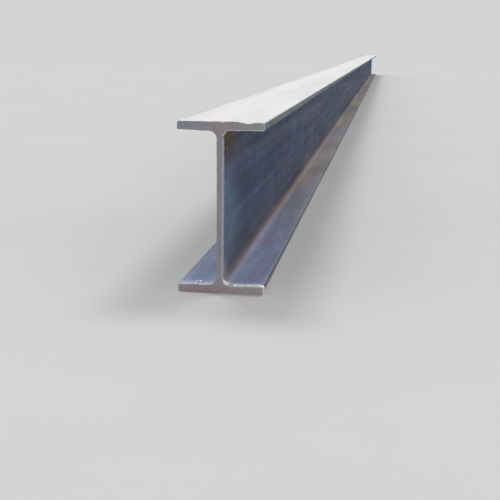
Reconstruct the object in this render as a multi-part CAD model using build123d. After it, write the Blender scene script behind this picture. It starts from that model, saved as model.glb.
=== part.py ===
"""Hot-rolled steel H-beam, one straight stock length, standing on its bottom flange with the web upright.

The beam is one rolled bar: a web between two parallel flanges of even thickness, with a rounded root
where the web meets each flange and softly rounded toes along the flange edges. Both ends are sawn
square. The section is the light 150 x 75 mm size, whose height is twice its flange width.

Axes: Y runs along the beam, X across the flanges and Z up the web. The origin is on the floor, under
the middle of the length, at the centre of the bottom flange's lower face.
"""
from build123d import *
import os

# Rolled section, in millimetres
SECTION_HEIGHT = 150.0
FLANGE_WIDTH = 75.0
WEB_THICKNESS = 5.0
FLANGE_THICKNESS = 7.0
ROOT_RADIUS = 8.0
TOE_OUTER_RADIUS = 2.0
TOE_INNER_RADIUS = 1.0

# Sawn stock length, in millimetres
STOCK_LENGTH = 6000.0


def section_blank():
    """The H outline with square corners: X across, Y up from the underside of the bottom flange."""
    flange = Rectangle(FLANGE_WIDTH, FLANGE_THICKNESS)
    bottom_flange = Pos(0, FLANGE_THICKNESS / 2) * flange
    top_flange = Pos(0, SECTION_HEIGHT - FLANGE_THICKNESS / 2) * flange
    web = Pos(0, SECTION_HEIGHT / 2) * Rectangle(WEB_THICKNESS, SECTION_HEIGHT - FLANGE_THICKNESS)
    return bottom_flange + top_flange + web


def is_toe(corner):
    """True for the corners at the flange edges, which lie outside the flange's quarter points."""
    return abs(corner.X) > FLANGE_WIDTH / 4


def is_outer(corner):
    """True for the corners on the beam's top and bottom faces."""
    from_middle = abs(corner.Y - SECTION_HEIGHT / 2)
    return from_middle > SECTION_HEIGHT / 2 - FLANGE_THICKNESS / 2


def rolled_section():
    """The finished outline: filleted roots between web and flanges, and rounded flange toes."""
    section = section_blank()
    roots = [v for v in section.vertices() if not is_toe(v)]
    section = fillet(roots, ROOT_RADIUS)
    outer_toes = [v for v in section.vertices() if is_toe(v) and is_outer(v)]
    section = fillet(outer_toes, TOE_OUTER_RADIUS)
    # An outer toe's lower tangent point is also a corner, so the inner toes are told by their height
    inner_height = SECTION_HEIGHT / 2 - FLANGE_THICKNESS
    inner_toes = [
        v
        for v in section.vertices()
        if is_toe(v) and abs(v.Y - SECTION_HEIGHT / 2) < inner_height + TOE_INNER_RADIUS / 2
    ]
    return fillet(inner_toes, TOE_INNER_RADIUS)


def h_beam():
    """The section carried along the beam, half the stock length each way from the middle."""
    upright = Plane.XZ * rolled_section()
    return extrude(upright, amount=STOCK_LENGTH / 2, both=True)


os.makedirs("parts", exist_ok=True)
export_step(h_beam(), "parts/h_beam.step")
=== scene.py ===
"""A straight stock length of rolled steel H-beam, dressed over its solid.

The bar is one skin: the rolled outline carried along the length, closed by a sawn face at each end.
Mill scale covers the rolled faces, with rust along the roots and dust on what faces up. The top's dust is
painted near white for sunlight, the lower flange's dust carries a painted blue skylight cast, and painted
light brightens the faces by the photographed end. Torn lips and small beads of spatter sit along the sawn
edges, their bright colour partly painted glint. Everything is in metres, in the solid's own frame: X
across the flanges, Y along the bar and Z up, with the photographed end at the lowest Y.
"""
import math

import bmesh
import bpy
import numpy as np
from bpy.props import FloatProperty, FloatVectorProperty, PointerProperty
from mathutils import Matrix, Vector


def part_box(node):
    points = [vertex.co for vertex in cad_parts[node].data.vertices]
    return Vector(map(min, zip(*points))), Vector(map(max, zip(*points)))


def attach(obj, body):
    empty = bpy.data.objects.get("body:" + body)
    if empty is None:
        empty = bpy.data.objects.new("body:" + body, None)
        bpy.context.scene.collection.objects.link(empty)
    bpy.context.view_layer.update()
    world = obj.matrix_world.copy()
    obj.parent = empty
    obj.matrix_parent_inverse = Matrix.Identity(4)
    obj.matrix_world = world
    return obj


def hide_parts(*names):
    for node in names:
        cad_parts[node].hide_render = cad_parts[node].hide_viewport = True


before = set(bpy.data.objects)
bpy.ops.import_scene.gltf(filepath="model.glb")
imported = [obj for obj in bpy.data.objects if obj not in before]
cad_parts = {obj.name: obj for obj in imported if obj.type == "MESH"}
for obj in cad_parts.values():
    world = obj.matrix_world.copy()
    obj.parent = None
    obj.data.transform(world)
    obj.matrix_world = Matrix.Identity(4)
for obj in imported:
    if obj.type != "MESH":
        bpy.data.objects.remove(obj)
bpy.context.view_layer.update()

BAR_LOW, BAR_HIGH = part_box("h_beam")
BAR_SIZE = BAR_HIGH - BAR_LOW
MM = 0.001

bl_info = {
    "name": "Steel H-beam",
    "version": (1, 0, 0),
    "blender": (4, 5, 0),
    "location": "3D View > Sidebar > H-beam",
    "description": "Builds a rolled steel H-beam with mill scale, rusty roots and sawn ends",
    "category": "Add Mesh",
}


# Settings that a user would change


def length_setting(name, description, default):
    return FloatProperty(
        name=name, description=description, default=default, min=0, unit="LENGTH", precision=4
    )


def colour_setting(name, description, default):
    return FloatVectorProperty(
        name=name, description=description, default=default, size=3, min=0, max=1, subtype="COLOR"
    )


class BarSettings(bpy.types.PropertyGroup):
    """Sizes of the rolled section and of what the mill and the saw did to it."""

    width: length_setting("Flange width", "Width of both flanges", BAR_SIZE.x)
    height: length_setting("Section height", "Height over both flanges", BAR_SIZE.z)
    length: length_setting("Stock length", "Length between the sawn ends", BAR_SIZE.y)
    web: length_setting("Web thickness", "Thickness of the upright web", 5 * MM)
    flange: length_setting("Flange thickness", "Thickness of both flanges", 7 * MM)
    root: length_setting("Root radius", "Radius where the web meets a flange", 8 * MM)
    outer_toe: length_setting("Outer toe radius", "Radius on a flange's outer edges", 2 * MM)
    inner_toe: length_setting("Inner toe radius", "Radius on a flange's inner edges", 1 * MM)
    offset: length_setting("Web offset", "How far the rolls left the web to one side", 0.75 * MM)
    waviness: length_setting("Rolling waviness", "How far the rolled faces wander", 0.14 * MM)
    sawn_round: length_setting("Sawn edge round", "Small round along the sawn edges", 0.3 * MM)
    ragged: length_setting("Ragged edge", "How uneven the sawn outline is", 0.1 * MM)
    saw_relief: length_setting("Saw relief", "How uneven the sawn faces are", 0.16 * MM)


class BurrSettings(bpy.types.PropertyGroup):
    """Sizes that every torn lip along the sawn edges takes its own share of."""

    lip_width: length_setting("Lip width", "Width of a torn lip along the bar", 1.7 * MM)
    lip_height: length_setting("Lip height", "Half the height of a torn lip's oval", 1.2 * MM)


class FinishSettings(bpy.types.PropertyGroup):
    """Colours of the bar's surfaces."""

    scale_blue: colour_setting("Blue scale", "Mill scale where it is bluest", (0.042, 0.072, 0.136))
    scale_purple: colour_setting("Purple scale", "Mill scale where it turns purple", (0.062, 0.060, 0.122))
    # Painted light: lighter teal for light that falls in at the open end
    scale_end_lit: colour_setting("End-lit scale", "Scale painted lighter teal near the sawn end", (0.120, 0.205, 0.300))
    scale_pale: colour_setting("Worn scale", "Scale rubbed thin along the streaks", (0.110, 0.140, 0.200))
    toe_grey: colour_setting("Worn toes", "Scale rubbed grey along the flange edges", (0.210, 0.212, 0.222))
    rust: colour_setting("Rust film", "Thin rust along the roots", (0.270, 0.140, 0.066))
    rust_dark: colour_setting("Old rust", "Thick old rust in patches", (0.055, 0.026, 0.014))
    # Dust, its pinkish warmth partly painted sunlight
    web_dust_and_sun: colour_setting("Web dust", "Thin pinkish dust low on the web, partly painted sunlight", (0.400, 0.335, 0.300))
    # Dust with a painted blue skylight cast
    flange_dust_skylit: colour_setting("Flange dust", "Dust on the lower flange, painted blue-grey for skylight", (0.450, 0.560, 0.800))
    flange_tint: colour_setting("Flange tint", "Where the lower flange turns purple", (0.480, 0.470, 0.690))
    flange_warm: colour_setting("Warm dust", "Lower flange's dust away from the ends", (0.560, 0.480, 0.380))
    # Painted sunlight: the top face's dust colour is near white for the sun on it
    top_dust_and_glare: colour_setting("Top dust and glare", "Dust on the top face, painted near white for sunlight", (0.880, 0.880, 0.872))
    # Painted light: paler scale next to the sawn ends, for light at the open end
    end_strip_lit: colour_setting("End light", "Scale painted paler next to the sawn ends", (0.300, 0.390, 0.470))
    sawn: colour_setting("Sawn steel", "Sawn end faces", (0.352, 0.320, 0.345))
    sawn_blue: colour_setting("Blued steel", "Sawn end faces where they are blued", (0.305, 0.330, 0.415))
    sawn_grey: colour_setting("Greyed steel", "Sawn end faces where plain grey", (0.372, 0.368, 0.375))
    sawn_red: colour_setting("Browned steel", "Sawn end faces where rust begins", (0.375, 0.315, 0.350))
    sawn_warm: colour_setting("Stained steel", "Sawn ends low down, stained by damp", (0.400, 0.325, 0.318))
    sawn_speck: colour_setting("Sawn specks", "Fine rust specks on the sawn faces", (0.230, 0.170, 0.160))
    # The spatter colour is partly painted glint; it also paints light on the lower flange by the end
    spatter: colour_setting("Spatter", "Spatter beads, partly painted glint, and painted light by the end", (0.880, 0.940, 1.000))
    # Fresh metal, partly painted glint on lips, rims and edges
    bright: colour_setting("Bright steel", "Fresh metal on lips and edges, partly painted glint", (0.960, 0.960, 0.970))


class StageSettings(bpy.types.PropertyGroup):
    """The floor, the lights and the lens of the view."""

    floor: colour_setting("Floor", "Colour of the floor", (0.70, 0.70, 0.695))
    backdrop: colour_setting("Backdrop", "Colour seen behind the bar", (0.648, 0.651, 0.648))
    sky: FloatProperty(name="Sky light", description="Strength of the even light", default=0.5, min=0)
    key: FloatProperty(name="Key light", description="Strength of the light from above", default=1.75, min=0)
    lens: FloatProperty(name="Lens", description="Focal length in millimetres", default=59, min=1)


# Places and smooth unevenness


def mm(*sizes):
    """Sizes in millimetres as metres."""
    return np.array(sizes) * MM


def from_end(bar, across, away, up):
    """The place that lies this many millimetres across, in from the photographed end, and up."""
    return mm(across, away, up) - (0, bar.length / 2, 0)


def between(a, b, share):
    """What lies this share of the way from a to b."""
    return (1 - share) * a + share * b


def around(count):
    """This many even angles round a full turn."""
    return np.linspace(0, math.tau, count + 1)[:-1]


def ripple(*coords, wavelength, seed, waves=7):
    """Smooth noise, mostly between -1 and 1: the sum of sine waves over the root of 1.2 times their number.

    The waves have seeded directions and phases, and the wavelength holds 0.6 to 1.7 of each.
    """
    rng = np.random.default_rng(seed)
    total = np.zeros(np.broadcast(*coords).shape)
    for _ in range(waves):
        direction = rng.normal(size=len(coords))
        direction /= np.linalg.norm(direction)
        turns = rng.uniform(0.6, 1.7) / wavelength
        phase = rng.uniform(0, math.tau)
        along = sum(c * d for c, d in zip(coords, direction))
        total = total + np.sin(math.tau * turns * along + phase)
    return total / math.sqrt(waves * 1.2)


def bump(distance, width):
    """A smooth hump of height 1 at distance 0: a bell curve that is all but gone at twice the width."""
    return np.exp(-((distance / width) ** 2))


# The rolled outline

# Steps across half the web, round a root, along a flange, round a toe, through a flange and up half the web
WEB_COLUMNS = 2
ROOT_STEPS = 9
FLAT_STEPS = 14
TOE_STEPS = 5
DEPTH_STEPS = 4
WEB_STEPS = 22


def arc(centre, radius, start, end, steps):
    """Points and directions on a circle: the centre plus the radius times (cos a, sin a), a in degrees."""
    a = np.radians(np.linspace(start, end, steps + 1))
    way = np.stack([np.cos(a), np.sin(a)], 1)
    return np.asarray(centre) + radius * way, way


def line(start, end, steps):
    """Evenly spaced points from start to end, both included."""
    return between(np.asarray(start), np.asarray(end), np.linspace(0, 1, steps + 1)[:, None])


def repeated(way, points):
    """One direction for each of the points."""
    return np.tile(way, (len(points), 1))


class Outline:
    """The rolled outline as a closed ring of points in X and Z, with the way each point faces.

    One quarter is worked out: the outer face from the middle to the toe, the toe, the inner face back to
    the root, the root and half the web. The ring is that quarter mirrored across both middles. Past the
    web's own columns, each point of the outer face is paired with one of the inner face, so the sawn face
    can be closed by straight columns between them. index gives the ring's number of each of the quarter's
    points, by flange and by hand: 1 on the right and -1 on the left. run is the way round to each point.
    """

    def __init__(self, bar):
        half, tw, tf = bar.width / 2, bar.web / 2, bar.flange
        root_middle = (tw + bar.root, tf + bar.root)
        outer_toe = (half - bar.outer_toe, bar.outer_toe)
        inner_toe = (half - bar.inner_toe, tf - bar.inner_toe)
        root, root_ways = arc(root_middle, bar.root, 180, 270, ROOT_STEPS)
        outer_arc, outer_ways = arc(outer_toe, bar.outer_toe, -90, 0, TOE_STEPS)
        inner_arc, inner_ways = arc(inner_toe, bar.inner_toe, 90, 0, TOE_STEPS)
        middle = line((0, 0), (tw, 0), WEB_COLUMNS)[:-1]
        outer_flat = line((root_middle[0], 0), (outer_toe[0], 0), FLAT_STEPS)[1:-1]
        inner_flat = line((root_middle[0], tf), (inner_toe[0], tf), FLAT_STEPS)[1:-1]
        under = np.concatenate([middle, root * (1, 0), outer_flat])
        outer = np.concatenate([under, outer_arc])
        inner = np.concatenate([root, inner_flat, inner_arc])
        toe = line(outer[-1], inner[-1], DEPTH_STEPS)[1:-1]
        web = line(inner[0], (tw, bar.height / 2), WEB_STEPS)[1:]
        quarter = np.concatenate([outer, toe, inner[::-1], web])
        ways = np.concatenate(
            [
                repeated((0, -1), under),
                outer_ways,
                repeated((1, 0), toe),
                inner_ways[::-1],
                repeated((0, 1), inner_flat),
                -root_ways[::-1],
                repeated((1, 0), web),
            ]
        )
        self.columns = len(outer)
        self.inner_start = len(outer) + len(toe)
        self.web_start = self.inner_start + len(inner) - 1
        self.quarter = len(quarter)
        self.count = 4 * self.quarter - 4
        self.points = np.zeros((self.count, 2))
        self.ways = np.zeros((self.count, 2))
        number = np.arange(self.quarter)
        top_middle = 2 * self.quarter - 2
        self.index = {
            ("bottom", 1): number,
            ("top", 1): top_middle - number,
            ("top", -1): top_middle + number,
            ("bottom", -1): (self.count - number) % self.count,
        }
        for (side, hand), where in self.index.items():
            rise, base = (1, 0) if side == "bottom" else (-1, bar.height)
            self.points[where] = quarter * (hand, rise) + (0, base)
            self.ways[where] = ways * (hand, rise)
        steps = np.roll(self.points, -1, 0) - self.points
        self.run = np.concatenate([[0], np.cumsum(np.linalg.norm(steps, axis=1))])

    def inner_at(self, column):
        """The quarter's own number of the inner point that is paired with an outer column."""
        return self.inner_start + (self.columns - 1 - column)


# The skin along the length

# Distances from a sawn end at which the skin has a ring, past the edge's own round, and the spacing between
END_STATIONS = mm(0.8, 1.4, 2.1, 2.9, 3.8, 5, 6.5, 8.5, 11, 15, 21, 30, 44, 66, 100, 150)
STATION_SPACING = 50 * MM

# Lengths of the waves in the rolled faces, in the sawn outline and in the sawn faces
LONG_WAVE = 0.8
SHORT_WAVE = 0.16
TOE_WAVE = 0.5
TORN_WAVE = 14 * MM
FRAYED_WAVE = 5 * MM
SAW_WAVE = 60 * MM

# How far from a toe or from a sawn end each kind of unevenness reaches
TOE_REACH = 3 * MM
TEAR_REACH = 1.6 * MM
MARK_REACH = 5.5 * MM
RELIEF_REACH = 12 * MM

# Dents and lumps that the sawn outline has at the photographed end: the flange, whether it is on the outer
# face, the place across it, how far it stands proud and how wide it is, in millimetres
END_MARKS = (
    ("top", True, 11.0, 0.65, 11.0),
    ("top", True, 23.5, -1.0, 4.5),
    ("top", True, 33.0, 0.3, 3.0),
    ("top", False, -14.0, 0.7, 8.0),
    ("top", False, 16.0, 0.35, 6.0),
    ("bottom", True, -26.0, 0.5, 4.0),
    ("bottom", True, 9.0, 0.3, 7.0),
    ("bottom", False, -36.0, -0.7, 7.0),
    ("bottom", False, 31.0, 0.75, 11.0),
)


def stations(bar):
    """Places along the length from end to end, close together near the sawn ends and even between."""
    near = np.concatenate([[0, bar.sawn_round], END_STATIONS])
    spaces = round((bar.length - 2 * near[-1]) / STATION_SPACING)
    middle = np.linspace(near[-1], bar.length - near[-1], spaces + 1)[1:-1]
    return np.concatenate([near, middle, bar.length - near[::-1]]) - bar.length / 2


def web_drift(bar, x):
    """How far the web and its roots sit to the left: the offset times a bell curve of the place across."""
    return -bar.offset * bump(x, 0.4 * bar.width)


def end_marks(bar, x, z, facing, near):
    """How far each point stands proud for the end's own dents and lumps.

    Each mark is its height times a bell curve of the place across and one of the distance from the end,
    on the points of its flange that face its way.
    """
    out = 0
    for side, is_outer, place, height, width in END_MARKS:
        flange_z, outwards = (0, -facing) if side == "bottom" else (bar.height, facing)
        on_flange = np.abs(z - flange_z) < 1.2 * bar.flange
        chosen = on_flange & ((outwards if is_outer else -outwards) > 0.3)
        out = out + chosen * height * MM * (bump(x - place * MM, width * MM) * bump(near, MARK_REACH))
    return out


def skin_points(bar, outline, along):
    """The bar's skin as a grid, one ring of the outline for each place along the length.

    A point is its place on the outline, moved out along the way it faces by the rolling waviness, by the
    ragged sawn edge and by the end's own marks, the last two dying away from the end, and drawn in by the
    round of the sawn edge on the first and last ring. The web's drift moves it across and the saw's
    relief moves it along.
    """
    x, z = outline.points.T[:, None]
    facing_x, facing_z = outline.ways.T[:, None]
    y = along[:, None]
    run = outline.run[:-1][None]
    near, far = y - along[0], along[-1] - y
    depth = np.minimum(near, far)
    out = bar.waviness * ripple(x * 3, y, z * 3, wavelength=LONG_WAVE, seed=11)
    out = out + 0.5 * bar.waviness * ripple(run, y, wavelength=SHORT_WAVE, seed=12)
    toe = bump(bar.width / 2 - np.abs(x), TOE_REACH)
    out = out + toe * 1.4 * bar.waviness * ripple(y, x * 0.2, z, wavelength=TOE_WAVE, seed=13)
    torn = ripple(run, y * 0, wavelength=TORN_WAVE, seed=14)
    torn = torn + 0.7 * ripple(run, y, wavelength=FRAYED_WAVE, seed=15)
    out = out + np.exp(-depth / TEAR_REACH) * bar.ragged * torn
    out = out + end_marks(bar, x, z, facing_z, near)
    out = out - bar.sawn_round * (depth <= 0)
    relief = bar.saw_relief * ripple(x, z * 0.5, y * 0, wavelength=SAW_WAVE, seed=16)
    shift = relief * np.exp(-depth / RELIEF_REACH)
    moved = (x + out * facing_x + web_drift(bar, x), y + shift, z + out * facing_z)
    return np.stack(np.broadcast_arrays(*moved), -1)


def ring_faces(rows, count):
    """Quads between neighbouring rings, numbered row by row, each ring closed on itself."""
    r, c = np.meshgrid(np.arange(rows - 1), np.arange(count), indexing="ij")
    a = r * count + c
    b = r * count + (c + 1) % count
    return np.stack([a, a + count, b + count, b], -1).reshape(-1, 4)


def grid_faces(rows, columns):
    """Quads of a plain grid of points, numbered row by row."""
    r, c = np.meshgrid(np.arange(rows - 1), np.arange(columns - 1), indexing="ij")
    a = r * columns + c
    return np.stack([a, a + columns, a + columns + 1, a + 1], -1).reshape(-1, 4)


# The sawn faces


def flange_grid(outline, ring, side):
    """A flange's part of the sawn face: straight columns, each a mix of its outer and its inner point.

    The rim is 1 on the ring and 0 inside it. The columns under the web end on the web's first row.
    """
    left, right = outline.index[side, -1], outline.index[side, 1]
    columns = np.arange(outline.columns)
    outer = np.concatenate([ring[left[columns[:0:-1]]], ring[right[columns]]])
    paired = outline.inner_at(columns[WEB_COLUMNS:])
    inner_left, inner_right = ring[left[paired]], ring[right[paired]]
    share = np.linspace(0, 1, 2 * WEB_COLUMNS + 1)[1:-1, None]
    web_row = between(inner_left[0], inner_right[0], share)
    inner = np.concatenate([inner_left[::-1], web_row, inner_right])
    depth = np.linspace(0, 1, DEPTH_STEPS + 1)[None, :, None]
    grid = between(outer[:, None], inner[:, None], depth)
    toe = outline.columns - 1 + np.arange(DEPTH_STEPS + 1)
    grid[0], grid[-1] = ring[left[toe]], ring[right[toe]]
    rim = np.zeros(grid.shape[:2])
    rim[:, [0, -1]] = 1
    rim[[0, -1]] = 1
    rim[len(inner_left) : len(inner_left) + len(web_row), -1] = 0
    return (grid, rim) if side == "bottom" else (grid[:, ::-1], rim[:, ::-1])


def web_grid(outline, ring):
    """The web's part of the sawn face: straight rows, each a mix of its left and its right point."""
    rows = np.arange(outline.web_start, outline.quarter)
    left, right = (
        ring[np.concatenate([outline.index["bottom", hand][rows], outline.index["top", hand][rows[-2::-1]]])]
        for hand in (-1, 1)
    )
    share = np.linspace(0, 1, 2 * WEB_COLUMNS + 1)[:, None, None]
    grid = between(left[None], right[None], share)
    rim = np.zeros(grid.shape[:2])
    rim[[0, -1]] = 1
    return grid, rim


# The bake map: the skin unrolled into strips side by side, and the two sawn faces below them. The first
# strip, for the photographed end, is about twice as fine across as the others and nearly three times as fine
# along. Each strip has its share of the length, its left and right edge, and its lower and upper edge.
STRIPS = (
    (0.0, 0.15, 0.002, 0.498, 0.165, 0.998),
    (0.15, 0.575, 0.502, 0.748, 0.165, 0.998),
    (0.575, 1.0, 0.752, 0.998, 0.165, 0.998),
)

# The lower left corner of each sawn face on the bake map, and how many of the map's widths a metre takes up
SAWN_PLACES = ((0.004, 0.004), (0.354, 0.004))
SAWN_SCALE = 2


def skin_map(outline, along):
    """The bake map's place of each corner of the skin's quads, strip by strip.

    Across a strip runs the way round the outline and up it runs the length, each stretched to the strip.
    """
    share = (along - along[0]) / (along[-1] - along[0])
    middle = (share[:-1] + share[1:]) / 2
    run = outline.run / outline.run[-1]
    corner_run = np.stack([run[:-1], run[:-1], run[1:], run[1:]], 1)
    corner_share = np.stack([share[:-1], share[1:], share[1:], share[:-1]], 1)
    places = np.zeros((len(middle), outline.count, 4, 2))
    for start, end, left, right, low, high in STRIPS:
        rows = (middle >= start) & (middle < end)
        first, last = corner_share[rows].min(), corner_share[rows].max()
        places[rows, :, :, 0] = left + (right - left) * corner_run[None]
        places[rows, :, :, 1] = (low + (high - low) * (corner_share[rows] - first) / (last - first))[:, None]
    return places.reshape(-1, 4, 2)


def sawn_map(corners, place):
    """The bake map's place of each corner of a sawn face's quads: its height across, and its X up."""
    return (corners[..., [2, 0]] - (BAR_LOW.z, BAR_LOW.x)) * SAWN_SCALE + place


# Meshes

MERGE_DISTANCE = 1e-6
SHARP_ANGLE = math.radians(38)


class Shell:
    """Grids of points and their quads, gathered to make one mesh."""

    def __init__(self):
        self.points, self.faces, self.count = [], [], 0

    def add(self, grid, quads):
        """Adds a grid and its quads, which are numbered from the grid's own first point."""
        self.points.append(grid.reshape(-1, 3))
        self.faces.append(quads + self.count)
        self.count += len(self.points[-1])


def new_piece(name, shell, materials, face_materials=None, attributes=(), bake_map=None):
    """A mesh object at the origin, its doubles merged.

    attributes are names with one number for each point, and bake_map is one place for each corner of
    each face.
    """
    mesh = bpy.data.meshes.new(name)
    mesh.from_pydata(np.concatenate(shell.points).tolist(), [], np.concatenate(shell.faces).tolist())
    for material in materials:
        mesh.materials.append(material)
    if face_materials is not None:
        mesh.polygons.foreach_set("material_index", face_materials.astype(np.int32))
    for key, values in attributes:
        mesh.attributes.new(key, "FLOAT", "POINT").data.foreach_set("value", values.astype(np.float32))
    if bake_map is not None:
        mesh.uv_layers.new(name="OFBake").data.foreach_set("uv", bake_map.astype(np.float32).ravel())
    shape = bmesh.new()
    shape.from_mesh(mesh)
    bmesh.ops.remove_doubles(shape, verts=shape.verts, dist=MERGE_DISTANCE)
    shape.to_mesh(mesh)
    shape.free()
    mesh.shade_smooth()
    mesh.set_sharp_from_angle(angle=SHARP_ANGLE)
    piece = bpy.data.objects.new(name, mesh)
    bpy.context.scene.collection.objects.link(piece)
    return piece


def turn_outwards(mesh):
    """Makes every closed shell's faces look outwards."""
    shape = bmesh.new()
    shape.from_mesh(mesh)
    bmesh.ops.recalc_face_normals(shape, faces=shape.faces)
    shape.to_mesh(mesh)
    shape.free()


# A root's own line stands this share of its radius off the web and off the flange
ROOT_LINE = 0.2

# How far from that line the rust reaches
ROOT_REACH = 9 * MM


def root_closeness(bar, points):
    """How near each point is to a root, from 0 to 1: a bell curve of the distance to the root's own line."""
    x, z = np.abs(points[:, 0]), points[:, 2]
    low = np.minimum(z, bar.height - z)
    line_off = ROOT_LINE * bar.root
    return bump(np.hypot(x - bar.web / 2 - line_off, low - bar.flange - line_off), ROOT_REACH)


# Node trees


class Graph:
    """A node tree, built by methods that add a node or a few and return an output."""

    def __init__(self, tree):
        self.tree = tree
        self.tree.nodes.clear()

    def add(self, kind, **settings):
        node = self.tree.nodes.new(kind)
        for key, value in settings.items():
            setattr(node, key, value)
        return node

    def feed(self, node, values):
        """Links an output to each input of a node, or sets a plain value on it, by its name or number."""
        for key, value in values.items():
            socket = node.inputs[key]
            if isinstance(value, bpy.types.NodeSocket):
                self.tree.links.new(value, socket)
            elif socket.type == "RGBA":
                socket.default_value = (*value, 1)
            else:
                socket.default_value = value

    def made(self, kind, values, out=0, **settings):
        """Adds a node, feeds its inputs and returns one of its outputs."""
        node = self.add(kind, **settings)
        self.feed(node, values)
        return node.outputs[out]

    def maths(self, operation, total, *others, clamped=False):
        """Several outputs and numbers taken together by one operation, from the left."""
        for other in others:
            total = self.made("ShaderNodeMath", {0: total, 1: other}, operation=operation, use_clamp=clamped)
        return total

    def plus(self, *values):
        return self.maths("ADD", *values)

    def less(self, a, b):
        return self.maths("SUBTRACT", a, b)

    def times(self, *values):
        return self.maths("MULTIPLY", *values)

    def most(self, *values):
        return self.maths("MAXIMUM", *values)

    def unsigned(self, value):
        return self.made("ShaderNodeMath", {0: value}, operation="ABSOLUTE")

    def length(self, vector):
        return self.made("ShaderNodeVectorMath", {0: vector}, "Value", operation="LENGTH")

    def band(self, value, low, high, to_low=0.0, to_high=1.0):
        """value taken smoothly from to_low at low to to_high at high, and held beyond them."""
        values = {"Value": value, "From Min": low, "From Max": high, "To Min": to_low, "To Max": to_high}
        return self.made("ShaderNodeMapRange", values, interpolation_type="SMOOTHSTEP")

    def mixed(self, share, a, b):
        """Colour a turning into colour b as the share goes from 0 to 1."""
        return self.made("ShaderNodeMix", {0: share, 6: a, 7: b}, 2, data_type="RGBA")

    def blended(self, share, a, b):
        """Number a turning into number b as the share goes from 0 to 1."""
        return self.made("ShaderNodeMix", {0: share, 2: a, 3: b}, data_type="FLOAT")

    def crossed(self, share, a, b):
        """Shader a turning into shader b as the share goes from 0 to 1."""
        return self.made("ShaderNodeMixShader", {0: share, 1: a, 2: b})

    def brightened(self, colour, by):
        """A colour times a number."""
        return self.made("ShaderNodeVectorMath", {0: colour, "Scale": by}, operation="SCALE")

    def seen_rays(self):
        """1 for rays from the camera, from a mirror or through glass, and 0 for rays that light things."""
        path = self.add("ShaderNodeLightPath").outputs
        seen = [path[name] for name in ("Is Camera Ray", "Is Glossy Ray", "Is Transmission Ray")]
        return self.maths("ADD", *seen, clamped=True)


class Recipe(Graph):
    """A material with one shader, whose patterns read the object's own coordinates."""

    def __init__(self, name):
        old = bpy.data.materials.get(name)
        if old:
            bpy.data.materials.remove(old)
        self.material = bpy.data.materials.new(name)
        self.material.use_nodes = True
        super().__init__(self.material.node_tree)
        self.shader = self.add("ShaderNodeBsdfPrincipled")
        self.output = self.add("ShaderNodeOutputMaterial")
        self.feed(self.output, {"Surface": self.shader.outputs[0]})
        self.place = self.add("ShaderNodeTexCoord").outputs["Object"]

    def attribute(self, name):
        return self.add("ShaderNodeAttribute", attribute_name=name).outputs["Fac"]

    def axis(self, letter):
        """The object's own X, Y or Z."""
        return self.made("ShaderNodeSeparateXYZ", {0: self.place}, letter)

    def facing(self, letter):
        """How much the surface faces along an axis, from -1 to 1."""
        normal = self.add("ShaderNodeNewGeometry").outputs["Normal"]
        return self.made("ShaderNodeSeparateXYZ", {0: normal}, letter)

    def stretched(self, scale, shift=(0, 0, 0)):
        """The object's own place, scaled along each axis and then shifted."""
        return self.made("ShaderNodeMapping", {"Vector": self.place, "Scale": scale, "Location": shift})

    def noise(self, scale, shift=(0, 0, 0), detail=4, roughness=0.55):
        """Cloudy noise from 0 to 1, with this many cells to a metre along each axis."""
        place = self.stretched(scale, shift)
        values = {"Vector": place, "Scale": 1, "Detail": detail, "Roughness": roughness}
        return self.made("ShaderNodeTexNoise", values, "Fac")

    def near(self, centre, reach):
        """1 about a spot, falling smoothly from a quarter of its reach to 0 at its reach along each axis."""
        return self.band(self.length(self.stretched(1 / reach, -centre / reach)), 0.25, 1, 1, 0)

    def stroke(self, centre, degrees, length, width, bend):
        """1 on a short scratch on the web, a parabola in Y and Z, and 0 off it.

        The scratch runs through its centre at an angle up from Y, with its own half length and half width.
        """
        c, s = math.cos(math.radians(degrees)), math.sin(math.radians(degrees))
        dy = self.less(self.axis("Y"), centre[1])
        dz = self.less(self.axis("Z"), centre[2])
        on = self.plus(self.times(dy, c), self.times(dz, s))
        off = self.less(self.less(self.times(dz, c), self.times(dy, s)), self.times(on, on, bend))
        beside = self.band(self.unsigned(off), 0.3 * width, width, 1, 0)
        return self.times(beside, self.band(self.unsigned(on), 0.55 * length, length, 1, 0))

    def line_of(self, value, level, width):
        """1 where a smooth value passes a level, and 0 beyond this width in value to either side."""
        return self.band(self.unsigned(self.less(value, level)), 0, width, 1, 0)

    def raised(self, height, distance, strength, over=None):
        """The surface tilted by a height field, over an earlier one if there is one."""
        values = {"Height": height, "Distance": distance, "Strength": strength}
        if over is not None:
            values["Normal"] = over
        return self.made("ShaderNodeBump", values)

    def finish(self, colour, roughness, metallic, normal):
        """The material, once its shader is fed."""
        values = {"Base Color": colour, "Roughness": roughness, "Metallic": metallic, "Normal": normal}
        self.feed(self.shader, values)
        return self.material


# The rolled finish


class RolledFields:
    """What several layers of the rolled finish read: where a point is, how it faces, and shared noises."""

    def __init__(self, make, bar):
        self.height = make.axis("Z")
        self.end_gap = make.less(bar.length / 2, make.unsigned(make.axis("Y")))
        self.facing = make.facing("Z")
        self.streak = make.noise((70, 0.8, 70), detail=5, roughness=0.6)
        self.fine = make.noise((420, 5, 420), roughness=0.6)
        self.grain = make.noise((700, 500, 700), detail=3)
        self.cloud = make.noise((28, 12, 28), detail=5, roughness=0.62)
        self.patches = make.noise((13, 3.2, 13), shift=(4, 0, 0), detail=6, roughness=0.7)
        self.settled = make.noise((26, 3, 26), shift=(0, 0, 5), detail=6, roughness=0.6)


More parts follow.
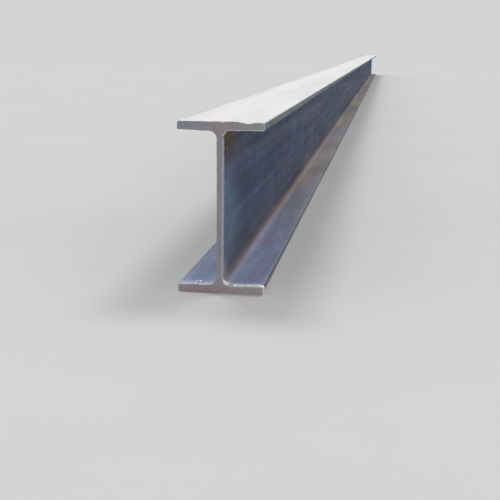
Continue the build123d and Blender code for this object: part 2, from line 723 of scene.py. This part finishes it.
def scale_layer(make, bar, colours, field):
    """Mill scale, blue to purple, rubbed pale in long streaks and in flakes, and grey along the toes.

    It is painted a lighter teal by the photographed end, for light that falls in at the open end. Gives
    the colour and the flakes.
    """
    broad = make.noise((9, 3.5, 9), detail=3)
    drips = make.noise((40, 190, 5), shift=(0, 2, 0), roughness=0.6)
    colour = make.mixed(make.band(broad, 0.4, 0.6), colours.scale_blue, colours.scale_purple)
    worn = make.times(make.band(field.streak, 0.42, 0.75), make.band(field.fine, 0.3, 0.8), 0.45)
    worn = make.plus(worn, make.times(make.band(field.cloud, 0.45, 0.75), 0.3))
    colour = make.mixed(worn, colour, colours.scale_pale)
    # Painted light: the web is painted lighter teal by the photographed end, for light falling in at the
    # open end
    lit_near_end = make.near(from_end(bar, 2.5, 0, 66), mm(40, 120, 68))
    colour = make.mixed(make.times(lit_near_end, 0.72), colour, colours.scale_end_lit)
    shade = make.plus(make.times(field.cloud, 0.5), make.times(field.grain, 0.25), make.times(drips, 0.25))
    colour = make.brightened(colour, make.band(shade, 0.3, 0.7, 0.68, 1.32))
    half = bar.width / 2
    at_toe = make.band(make.unsigned(make.axis("X")), half - 1.6 * MM, half - 0.2 * MM)
    rubbed = make.times(at_toe, make.band(field.cloud, 0.25, 0.6, 0.4, 0.95))
    colour = make.mixed(rubbed, colour, colours.toe_grey)
    flaked = make.times(make.band(field.patches, 0.6, 0.66), make.band(field.fine, 0.3, 0.6, 0.4, 0.8))
    return make.mixed(flaked, colour, colours.scale_pale), flaked


def rust_layer(make, bar, colours, field, colour):
    """A thin film of rust along the roots, specks of it, and an old patch under the upper root by the end.

    Gives the colour, the rust, the old patch and the crust that stands proud.
    """
    film_noise = make.noise((60, 7, 60), shift=(3, 0, 0), detail=6, roughness=0.65)
    film = make.plus(make.times(make.attribute("root"), 0.6), make.times(film_noise, 0.75))
    film = make.times(make.band(film, 0.62, 1.12), make.band(field.end_gap, 0, 90 * MM, 0.3, 0.7))
    specks = make.band(make.noise((170, 90, 170), shift=(0, 9, 0), detail=5, roughness=0.7), 0.62, 0.72)
    patch = make.near(from_end(bar, 2.5, 10, 133), mm(30, 85, 26))
    old = make.times(patch, make.band(field.cloud, 0.28, 0.45))
    colour = make.mixed(old, colour, colours.rust_dark)
    in_clouds = make.times(specks, make.band(field.cloud, 0.52, 0.64), 0.8)
    rusty = make.most(film, in_clouds, make.times(specks, patch))
    return make.mixed(rusty, colour, colours.rust), rusty, old, make.most(film, specks)


def dust_layer(make, bar, colours, field, colour):
    """Dust: pinkish low on the web, partly a painted echo of sunlight; on the lower flange blue-grey by the
    ends, a painted skylight cast, and warm away from them; on the top near white, painted sunlight.

    By the photographed end the lower flange is painted paler, for light that falls in at the open end, and
    the low root is powdered by the saw. Gives the colour, the dust and the top's dust with painted sunlight.
    """
    level = make.band(field.facing, 0.5, 0.98)
    # Dust low on the web; its pinkish warmth is partly a painted echo of sunlight there
    low = make.band(field.height, 70 * MM, 12 * MM)
    on_web = make.times(low, make.band(field.settled, 0.35, 0.7, 0.04, 0.3))
    colour = make.mixed(on_web, colour, colours.web_dust_and_sun)
    on_flange = make.times(level, make.band(field.settled, 0.3, 0.7, 0.45, 0.8))
    mottle = make.noise((55, 24, 55), shift=(0, 5, 3), detail=5, roughness=0.65)
    # The flange dust's blue-grey and purple carry a painted blue skylight cast
    flange = make.mixed(make.band(mottle, 0.42, 0.6), colours.flange_dust_skylit, colours.flange_tint)
    drift = make.noise((18, 4, 18), shift=(2, 0, 8), detail=5, roughness=0.6)
    warm = make.times(make.band(field.end_gap, 130 * MM, 600 * MM), make.band(drift, 0.3, 0.62, 0.35, 1))
    flange = make.mixed(warm, flange, colours.flange_warm)
    flange = make.brightened(flange, make.band(make.noise((260, 160, 260)), 0.3, 0.7, 0.92, 1.08))
    colour = make.mixed(on_flange, colour, flange)
    # Painted light: the lower flange is painted paler by the photographed end, for light falling in at the
    # open end
    lit_by_end = make.times(level, make.band(field.height, 20 * MM, 10 * MM), 0.55)
    lit_by_end = make.times(make.band(field.end_gap, 16 * MM, 1 * MM), lit_by_end)
    colour = make.mixed(lit_by_end, colour, colours.spatter)
    powdered = make.near(from_end(bar, 4, 0, 15), mm(22, 34, 24))
    colour = make.mixed(make.times(powdered, make.band(field.facing, 0.9, 0.5), 0.8), colour, colours.sawn)
    # Painted sunlight: the top face's dust is painted near white for sun glare on it
    on_top = make.band(field.height, bar.height * 0.9, bar.height * 0.97)
    on_top = make.times(make.band(field.facing, 0.3, 0.9), on_top)
    thin = make.plus(make.times(field.settled, 0.6), make.times(field.streak, 0.4))
    top_dust_and_glare = make.times(on_top, make.band(thin, 0.3, 0.6, 0.78, 1))
    return make.mixed(top_dust_and_glare, colour, colours.top_dust_and_glare), make.most(on_flange, on_web), top_dust_and_glare


def rim_bare_and_glint(make, low, high, patchiness):
    """Bare metal along the sawn rim, partly painted glint, patchy, and stronger on the right than on the
    left for the painted glint there.

    It grows as the rim goes from low to high, and patchiness is the band that its noise is taken through.
    """
    patchy = make.band(make.noise((260, 260, 260), detail=3), *patchiness)
    # Painted highlight: the right-side bias stands in for sun glints along the right edges
    on_right = make.band(make.axis("X"), -1 * MM, 2 * MM, 0.1, 1)
    return make.times(make.band(make.attribute("rim"), low, high), patchy, on_right)


# Short scratches on the right of the web: the distance from the photographed end, the height, the angle up
# from Y, the half length and the half width, in millimetres and degrees, and the bend
SCRATCHES = (
    (21, 123.5, 72, 5, 0.45, 45),
    (71, 118, 84, 4, 0.45, 20),
    (110, 84, 80, 4, 0.5, 0),
    (45, 133, 20, 7, 0.4, -20),
    (190, 62, 12, 16, 0.4, 4),
)


def bright_layer(make, bar, colours, field, colour):
    """Painted light by the sawn ends, hairlines, short scratches and the bare rim with its painted glint."""
    hair = make.noise((60, 2.2, 60), shift=(0, 7, 0), detail=2)
    hairs = make.times(make.line_of(hair, 0.52, 0.005), make.band(field.patches, 0.5, 0.6), 0.11)
    strokes = make.most(
        *(
            make.stroke(from_end(bar, 0, away, up), degrees, length * MM, width * MM, bend)
            for away, up, degrees, length, width, bend in SCRATCHES
        )
    )
    on_right = make.band(make.axis("X"), 0, 1 * MM)
    strokes = make.times(strokes, make.band(field.fine, 0.38, 0.58, 0.1, 0.8), on_right)
    # Painted light: a narrow paler strip next to the sawn ends, below the top face, for light at the open
    # end
    flaked = make.times(
        make.band(field.end_gap, 11 * MM, 2 * MM, 0, 0.85),
        make.band(field.height, 128 * MM, 100 * MM, 0.4, 1),
        make.band(make.noise((150, 150, 150)), 0.3, 0.6, 0.35, 1),
        make.band(field.facing, 0.6, 0.2),
    )
    colour = make.mixed(flaked, colour, colours.end_strip_lit)
    bright = make.most(rim_bare_and_glint(make, 0.3, 0.9, (0.35, 0.6, 0.3, 1)), hairs, make.times(strokes, 0.4))
    return make.mixed(bright, colour, colours.bright)


def rolled_finish(bar, colours):
    """Mill scale under rust, dust and bare metal.

    Rust and dust are rougher than the scale, but for the top's dust with painted sunlight, and less
    metallic.
    """
    make = Recipe("Mill scale")
    field = RolledFields(make, bar)
    colour, flaked = scale_layer(make, bar, colours, field)
    colour, rusty, old, crust = rust_layer(make, bar, colours, field, colour)
    colour, dust, top_dust_and_glare = dust_layer(make, bar, colours, field, colour)
    colour = bright_layer(make, bar, colours, field, colour)
    dull = make.most(rusty, dust, make.times(top_dust_and_glare, 0.8))
    metallic = make.band(make.most(dull, old), 0, 0.8, 0.4, 0)
    rough = make.blended(dull, make.band(field.streak, 0.3, 0.7, 0.66, 0.5), 0.8)
    rough = make.blended(top_dust_and_glare, rough, 0.55)
    grain = make.plus(make.times(field.fine, 0.5), make.times(field.grain, 0.5))
    surface = make.raised(grain, 0.25 * MM, 0.5)
    surface = make.raised(make.less(crust, flaked), 0.3 * MM, 0.35, over=surface)
    make.feed(make.shader, {"Specular IOR Level": 0.2, "Specular Tint": (0.62, 0.7, 0.85)})
    return make.finish(colour, rough, metallic, surface)


# The sawn and the torn finish


def sawn_finish(bar, colours):
    """Sawn steel: lavender grey with rust specks, a bare rim with painted glint and fine curved saw lines.

    The upper flange is browned over the web, blued at its left toe and plain grey at its right one. The
    low part is painted paler, more on the right, to offset the shade that falls there, and stained at the
    very bottom.
    """
    make = Recipe("Sawn steel")
    cloud = make.noise((45, 45, 45), detail=5, roughness=0.6)
    fine = make.noise((420, 60, 150))
    colour = make.mixed(make.band(cloud, 0.4, 0.7, 0, 0.5), colours.sawn, colours.sawn_red)
    for across, up, share, tone in (
        (-2, 147, 0.8, colours.sawn_red),
        (-32, 146, 0.8, colours.sawn_blue),
        (30, 147, 0.75, colours.sawn_grey),
    ):
        spot = make.near(from_end(bar, across, 0, up), mm(26, 60, 18))
        colour = make.mixed(make.times(spot, share), colour, tone)
    stained = make.times(make.band(make.axis("Z"), 8 * MM, 2 * MM), 0.85)
    colour = make.mixed(stained, colour, colours.sawn_warm)
    specks = make.noise((520, 520, 520), shift=(0, 3, 0), roughness=0.7)
    colour = make.mixed(make.band(specks, 0.6, 0.7, 0, 0.55), colour, colours.sawn_speck)
    # Painted light: the low part of the sawn face is brightened, more on the right, to offset the shade
    # there
    foot_lift_painted = make.band(make.axis("X"), -15 * MM, 20 * MM, 1.12, 1.26)
    foot_lift_painted = make.band(make.axis("Z"), 40 * MM, 6 * MM, 1, foot_lift_painted)
    colour = make.brightened(colour, make.times(make.band(fine, 0.3, 0.7, 0.94, 1.06), foot_lift_painted))
    # Bare rim partly painted glint, stronger on the right
    bright = rim_bare_and_glint(make, 0.72, 0.95, (0.35, 0.65, 0.35, 0.95))
    colour = make.mixed(bright, colour, colours.bright)
    saw_place = make.stretched((1, 0, 1), (-0.42, 0, -0.9))
    saw = {"Vector": saw_place, "Scale": 95, "Distortion": 2.5, "Detail": 3, "Detail Scale": 2}
    lines = make.made("ShaderNodeTexWave", saw, "Fac", wave_type="RINGS", rings_direction="SPHERICAL")
    surface = make.raised(make.plus(lines, make.times(fine, 0.8)), 0.12 * MM, 0.5)
    rough, metallic = make.band(cloud, 0.3, 0.7, 0.5, 0.68), make.band(bright, 0, 1, 0.3, 0.9)
    return make.finish(colour, rough, metallic, surface)


def burr_finish(bar, colours):
    """Freshly torn metal: bright, mottled and creased; the bright colour is partly painted glint.

    It is blued on the web and beside the chip, pale bluish white at the spatter on the left, partly painted
    glint, and nearly as dark as the sawn steel at the far end.
    """
    make = Recipe("Torn steel")
    crease = make.noise((900, 1400, 900))
    tarnish = make.noise((220, 220, 220))
    height = make.axis("Z")
    # Near-white torn metal, partly painted glint
    colour = make.mixed(make.band(tarnish, 0.5, 0.8, 0, 0.2), colours.bright, colours.sawn)
    colour = make.mixed(make.near(from_end(bar, -19, 0, 7), mm(20, 40, 20)), colour, colours.spatter)
    colour = make.mixed(make.band(make.axis("Y"), -1, 1, 0, 0.95), colour, colours.sawn)
    beside_chip = make.near(from_end(bar, 9.5, 0, 7), mm(4, 9, 6))
    colour = make.mixed(make.times(beside_chip, 0.6), colour, colours.sawn_blue)
    on_web = make.times(make.band(height, 11 * MM, 15 * MM), make.band(height, 147 * MM, 141 * MM))
    colour = make.mixed(make.times(on_web, 0.85), colour, colours.sawn_blue)
    colour = make.mixed(make.band(crease, 0.33, 0.46, 0.22, 0), colour, colours.sawn)
    rough = make.plus(make.band(crease, 0.3, 0.7, 0, 0.12), make.band(make.axis("X"), -5 * MM, 0, 0.5, 0.42))
    return make.finish(colour, rough, 0.5, make.raised(crease, 0.25 * MM, 0.18))


# The rolled bar

# The place of each finish among the bar's materials
ROLLED, SAWN = 0, 1

# How far from the sawn rim the bare metal and its painted glint reach
RIM_REACH = 0.8 * MM


class HBEAM_OT_bar(bpy.types.Operator):
    """Builds the rolled bar: its skin along the length and a sawn face at each end"""

    bl_idname = "h_beam.bar"
    bl_label = "Rolled bar"

    def execute(self, context):
        bar, colours = context.scene.h_beam_bar, context.scene.h_beam_finish
        outline = Outline(bar)
        along = stations(bar)
        skin = skin_points(bar, outline, along)
        shell = Shell()
        shell.add(skin, ring_faces(len(along), outline.count))
        edge = bump(np.minimum(along - along[0], along[-1] - along), RIM_REACH)
        rims = [np.repeat(edge, outline.count)]
        skin_kinds = np.full((len(along) - 1, outline.count), ROLLED)
        skin_kinds[[0, -1]] = SAWN
        kinds = [skin_kinds.ravel()]
        places = [skin_map(outline, along)]
        for ring, place, way in ((skin[0], SAWN_PLACES[0], 1), (skin[-1], SAWN_PLACES[1], -1)):
            grids = [flange_grid(outline, ring, side) for side in ("bottom", "top")]
            for grid, rim in (*grids, web_grid(outline, ring)):
                quads = grid_faces(*rim.shape)[:, ::way]
                shell.add(grid, quads)
                rims.append(rim.ravel())
                kinds.append(np.full(len(quads), SAWN))
                places.append(sawn_map(grid.reshape(-1, 3)[quads], place))
        root = root_closeness(bar, np.concatenate(shell.points))
        piece = new_piece(
            "h_beam_bar",
            shell,
            (rolled_finish(bar, colours), sawn_finish(bar, colours)),
            np.concatenate(kinds),
            (("root", root), ("rim", np.concatenate(rims))),
            np.concatenate(places),
        )
        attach(piece, "root")
        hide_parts("h_beam")
        return {"FINISHED"}


# Torn lips and beads of spatter

# How far out of the rolled face a lip's middle stands, as a share of its height
LIP_LEAN = 0.6

# A lip's step along its path and the stretch over which it tapers, and the points round it
LIP_STEP = 0.5 * MM
LIP_TAPER = 2.5 * MM
LIP_ROUND = 10

# Rows from pole to pole of a bead, the points round it and the first bead's seed
BEAD_ROWS = 12
BEAD_ROUND = 16
BEAD_SEED = 50

# Beads of spatter and the torn chip at the photographed end: place across, distance from the end, height,
# the three half sizes, the turn about Z and the tilt about Y, in millimetres and degrees
BEADS = (
    (4.6, 0.2, 9.4, 3.3, 1.7, 1.7, 0, -40),
    (7.3, 0.5, 7.8, 1.6, 1.3, 0.9, 0, -15),
    (-21.5, 4.0, 7.2, 1.3, 3.2, 2.2, 6, 0),
    (-18.8, 7.5, 7.6, 2.0, 1.6, 1.1, -8, -6),
    (-18.2, 1.8, 7.0, 1.2, 1.0, 0.8, 10, 0),
    (-9.0, 11.0, 7.0, 0.7, 1.0, 0.4, 0, 0),
    (14.0, 7.5, 7.0, 0.8, 0.7, 0.4, 10, 0),
    (29.0, 13.0, 7.0, 0.9, 0.6, 0.4, 60, 0),
    (-28.0, 6.0, 150.0, 0.7, 0.9, 0.35, 15, 0),
    (5.0, 9.0, 150.0, 0.8, 0.6, 0.35, 80, 0),
)


def lip_runs(outline):
    """The lips, each with the points of the ring that it follows and whether it is at the far end.

    Then come its shares of the height and the width, how far back its middle lies as a share of the
    width, and its seed. The near lips run from the low right toe into the root, up the web from root to
    root, and through the low root. The far ones lie on the left: round the low toe, and under the
    top flange.
    """
    low_right, low_left = outline.index["bottom", 1], outline.index["bottom", -1]
    top_left = outline.index["top", -1]
    web_low, web_high = outline.web_start, 2 * outline.quarter - 2 - outline.web_start
    return (
        (low_right[outline.columns - 3 : web_low - 3], False, 0.75, 2.4, 0.42, 31),
        (np.arange(web_low - 3, web_high + 3), False, 0.72, 0.5, 0.15, 32),
        (low_right[web_low - 7 : web_low], False, 0.5, 0.9, 0.15, 33),
        (low_left[outline.columns : outline.inner_at(20)], True, 0.6, 0.7, 0.15, 35),
        (top_left[outline.inner_at(26) : outline.inner_at(14)], True, 0.7, 1, 0.15, 37),
    )


def lip(path, ways, end, toward, height, width, back, seed):
    """A torn lip along an edge: an uneven oval carried along the path, partly buried in the steel.

    A point is the path's own, plus the way the face looks times the lip's height times the sum of the
    sine and the lean, plus the bar's direction times half its width times the cosine. Both sizes wander
    and taper to nothing at the ends. Its middle lies back from the sawn face by a share of its width.
    """
    run = np.concatenate([[0], np.cumsum(np.linalg.norm(np.diff(path, axis=0), axis=1))])
    t = np.linspace(0, run[-1], max(12, round(run[-1] / LIP_STEP)))
    px, pz, nx, nz = (np.interp(t, run, values)[:, None] for values in (*path.T, *ways.T))
    taper = np.sqrt(np.clip(np.minimum(t, run[-1] - t) / LIP_TAPER, 0, 1))
    torn = 0.2 * ripple(t, wavelength=9 * MM, seed=seed)
    torn = torn + 0.05 * ripple(t, wavelength=2.6 * MM, seed=seed + 2)
    frayed = 0.05 * ripple(t, wavelength=3.4 * MM, seed=seed + 1)
    frayed = frayed + 0.09 * ripple(t, wavelength=7 * MM, seed=seed + 3)
    high = (height * taper * (1 + torn))[:, None]
    wide = (width * taper * (1 + frayed))[:, None]
    a = around(LIP_ROUND)[None]
    rise = high * (np.sin(a) + LIP_LEAN)
    along = toward * (0.5 * wide * np.cos(a) + back * width)
    return np.stack([px + nx * rise, end + along, pz + nz * rise], -1)


def bead(centre, size, turn, tilt, seed):
    """A bead of spatter: a lumpy oval given by latitude and longitude, tilted about Y and turned about Z."""
    latitudes = np.linspace(-math.pi / 2, math.pi / 2, BEAD_ROWS)
    up, turned = np.meshgrid(latitudes, around(BEAD_ROUND), indexing="ij")
    ball = np.stack([np.cos(up) * np.cos(turned), np.cos(up) * np.sin(turned), np.sin(up)], -1)
    lumpy = 1 + 0.16 * ripple(*np.moveaxis(ball, -1, 0), wavelength=1.3, seed=seed)
    shape = ball * lumpy[..., None] * size
    c, s = math.cos(tilt), math.sin(tilt)
    shape = shape @ np.array([[c, 0, s], [0, 1, 0], [-s, 0, c]])
    c, s = math.cos(turn), math.sin(turn)
    return shape @ np.array([[c, s, 0], [-s, c, 0], [0, 0, 1]]) + centre


class HBEAM_OT_burrs(bpy.types.Operator):
    """Builds the torn lips along the sawn edges and the beads of spatter near them"""

    bl_idname = "h_beam.burrs"
    bl_label = "Burrs and spatter"

    def execute(self, context):
        bar, burrs = context.scene.h_beam_bar, context.scene.h_beam_burrs
        outline = Outline(bar)
        along = stations(bar)
        skin = skin_points(bar, outline, along)
        grids = []
        for where, is_far, high, wide, back, seed in lip_runs(outline):
            ring, end, toward = (skin[-2], along[-1], -1) if is_far else (skin[1], along[0], 1)
            height, width = high * burrs.lip_height, wide * burrs.lip_width
            path = ring[where][:, [0, 2]]
            grids.append(lip(path, outline.ways[where], end, toward, height, width, back, seed))
        for number, (x, away, z, rx, ry, rz, turn, tilt) in enumerate(BEADS):
            turns = math.radians(turn), math.radians(tilt)
            grids.append(bead(from_end(bar, x, away, z), mm(rx, ry, rz), *turns, BEAD_SEED + number))
        shell = Shell()
        for grid in grids:
            shell.add(grid, ring_faces(*grid.shape[:2]))
        piece = new_piece("sawn_end_burrs", shell, (burr_finish(bar, context.scene.h_beam_finish),))
        turn_outwards(piece.data)
        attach(piece, "root")
        return {"FINISHED"}


# The stage

FLOOR_RADIUS = 90.0
FLOOR_RINGS = 24
FLOOR_ROUND = 96
FLOOR_FADE = (3.6, 12.0)
FLOOR_SHADE = 0.93

# The two key lights: where each comes from and its share of the strength. The spread is how wide each looks
# from the bar, which softens its shadows
KEYS = (
    ("Key light left", Vector((-0.27, 0.44, 0.86)), 0.55),
    ("Key light right", Vector((0.29, 0.44, 0.86)), 0.45),
)
KEY_SPREAD = math.radians(18)
KEY_COLOUR = (1.0, 0.985, 0.96)
SKY_COLOUR = (0.95, 0.975, 1.0)

# The photograph's view: where the lens is from the photographed end's lowest middle point, and its turn to
# the left, its tilt down and its roll, found by matching the corners of the sawn end and the vanishing point
VIEW_PLACE = Vector((0.13707, -0.67904, 0.21205))
VIEW_YAW, VIEW_PITCH, VIEW_ROLL = math.radians(-9.2702), math.radians(13.9903), math.radians(-0.6042)
SENSOR_WIDTH = 36
NEAREST_SEEN, FURTHEST_SEEN = 0.01, 200


class HBEAM_OT_stage(bpy.types.Operator):
    """Builds the floor, the lights and the camera"""

    bl_idname = "h_beam.stage"
    bl_label = "Stage"

    def execute(self, context):
        stage = context.scene.h_beam_stage
        make_floor(stage)
        make_sky(stage)
        for name, toward, share in KEYS:
            make_lamp(name, toward, share * stage.key)
        make_camera(stage)
        context.scene.view_settings.view_transform = "Standard"
        return {"FINISHED"}


def make_floor(stage):
    """A round floor at Z = 0 that fades into the backdrop, in rings whose radii grow as the square."""
    radius = FLOOR_RADIUS * np.linspace(0, 1, FLOOR_RINGS + 1)[1:, None] ** 2
    angle = around(FLOOR_ROUND)[None]
    rings = np.stack([radius * np.cos(angle), radius * np.sin(angle), radius * angle * 0], -1)
    points = np.concatenate([rings.reshape(-1, 3), [[0, 0, 0]]])
    quads = ring_faces(FLOOR_RINGS, FLOOR_ROUND).tolist()
    hub = len(points) - 1
    turn = np.arange(FLOOR_ROUND)
    fan = np.stack([turn * 0 + hub, turn, np.roll(turn, -1)], 1).tolist()
    mesh = bpy.data.meshes.new("Floor")
    mesh.from_pydata(points.tolist(), [], quads + fan)
    mesh.materials.append(floor_finish(stage))
    floor = bpy.data.objects.new("Floor", mesh)
    bpy.context.scene.collection.objects.link(floor)


def floor_finish(stage):
    """Matt, faintly clouded ground, which far away turns into the backdrop's own colour where it is seen."""
    make = Recipe("Floor")
    clouds = make.band(make.noise((3, 3, 3)), 0.3, 0.7, 0, 0.35)
    colour = make.mixed(clouds, stage.floor, [c * FLOOR_SHADE for c in stage.floor])
    make.finish(colour, 0.9, 0.0, make.raised(make.noise((150, 150, 150), detail=3), 0.2 * MM, 0.2))
    make.feed(make.shader, {"Specular IOR Level": 0})
    faded = make.times(make.band(make.length(make.place), *FLOOR_FADE), make.seen_rays())
    glow = make.made("ShaderNodeEmission", {"Color": stage.backdrop})
    make.feed(make.output, {"Surface": make.crossed(faded, make.shader.outputs[0], glow)})
    return make.material


def make_sky(stage):
    """Even light from all round, with the backdrop's own colour for what is seen or mirrored."""
    world = bpy.data.worlds.new("Studio")
    bpy.context.scene.world = world
    world.use_nodes = True
    graph = Graph(world.node_tree)
    light = graph.made("ShaderNodeBackground", {"Color": SKY_COLOUR, "Strength": stage.sky})
    seen = graph.made("ShaderNodeBackground", {"Color": stage.backdrop})
    both = graph.crossed(graph.seen_rays(), light, seen)
    graph.feed(graph.add("ShaderNodeOutputWorld"), {"Surface": both})


def make_lamp(name, toward, strength):
    """A far, wide lamp whose light comes from one side and is as strong everywhere on the floor."""
    lamp = bpy.data.lights.new(name, "SUN")
    lamp.energy = strength
    lamp.angle = KEY_SPREAD
    lamp.color = KEY_COLOUR
    holder = bpy.data.objects.new(name, lamp)
    holder.rotation_mode = "QUATERNION"
    holder.rotation_quaternion = toward.to_track_quat("Z", "Y")
    bpy.context.scene.collection.objects.link(holder)


def make_camera(stage):
    """The camera: looks along Y turned by yaw and pitch, then rolled about its own line of sight."""
    flat = math.cos(VIEW_PITCH)
    ahead = Vector((math.sin(VIEW_YAW) * flat, math.cos(VIEW_YAW) * flat, -math.sin(VIEW_PITCH)))
    level = Vector((math.cos(VIEW_YAW), -math.sin(VIEW_YAW), 0))
    down = ahead.cross(level)
    right = level * math.cos(VIEW_ROLL) + down * math.sin(VIEW_ROLL)
    up = level * math.sin(VIEW_ROLL) - down * math.cos(VIEW_ROLL)
    lens = bpy.data.cameras.new("Camera")
    lens.lens = stage.lens
    lens.sensor_width = SENSOR_WIDTH
    lens.clip_start, lens.clip_end = NEAREST_SEEN, FURTHEST_SEEN
    camera = bpy.data.objects.new("Camera", lens)
    axes = Matrix((right, up, -ahead)).transposed()
    place = VIEW_PLACE + Vector((0, BAR_LOW.y, BAR_LOW.z))
    camera.matrix_world = Matrix.Translation(place) @ axes.to_4x4()
    bpy.context.scene.collection.objects.link(camera)
    bpy.context.scene.camera = camera


# The sidebar, and the classes that are registered


class HBEAM_PT_sidebar(bpy.types.Panel):
    """The bar's settings and the buttons that build its pieces."""

    bl_label = "H-beam"
    bl_idname = "HBEAM_PT_sidebar"
    bl_space_type = "VIEW_3D"
    bl_region_type = "UI"
    bl_category = "H-beam"

    def draw(self, context):
        for operator in OPERATORS:
            self.layout.operator(operator.bl_idname)
        for name in SETTINGS:
            settings = getattr(context.scene, name)
            box = self.layout.box()
            for key in settings.bl_rna.properties.keys():
                if key not in ("rna_type", "name"):
                    box.prop(settings, key)


SETTINGS = {
    "h_beam_bar": BarSettings,
    "h_beam_burrs": BurrSettings,
    "h_beam_finish": FinishSettings,
    "h_beam_stage": StageSettings,
}
OPERATORS = (HBEAM_OT_bar, HBEAM_OT_burrs, HBEAM_OT_stage)


def register():
    for name, settings in SETTINGS.items():
        bpy.utils.register_class(settings)
        setattr(bpy.types.Scene, name, PointerProperty(type=settings))
    for operator in OPERATORS:
        bpy.utils.register_class(operator)
    bpy.utils.register_class(HBEAM_PT_sidebar)


def unregister():
    bpy.utils.unregister_class(HBEAM_PT_sidebar)
    for operator in reversed(OPERATORS):
        bpy.utils.unregister_class(operator)
    for name, settings in SETTINGS.items():
        delattr(bpy.types.Scene, name)
        bpy.utils.unregister_class(settings)


def main():
    register()
    bpy.ops.h_beam.bar()
    bpy.ops.h_beam.burrs()
    bpy.ops.h_beam.stage()


if __name__ == "__main__":
    main()
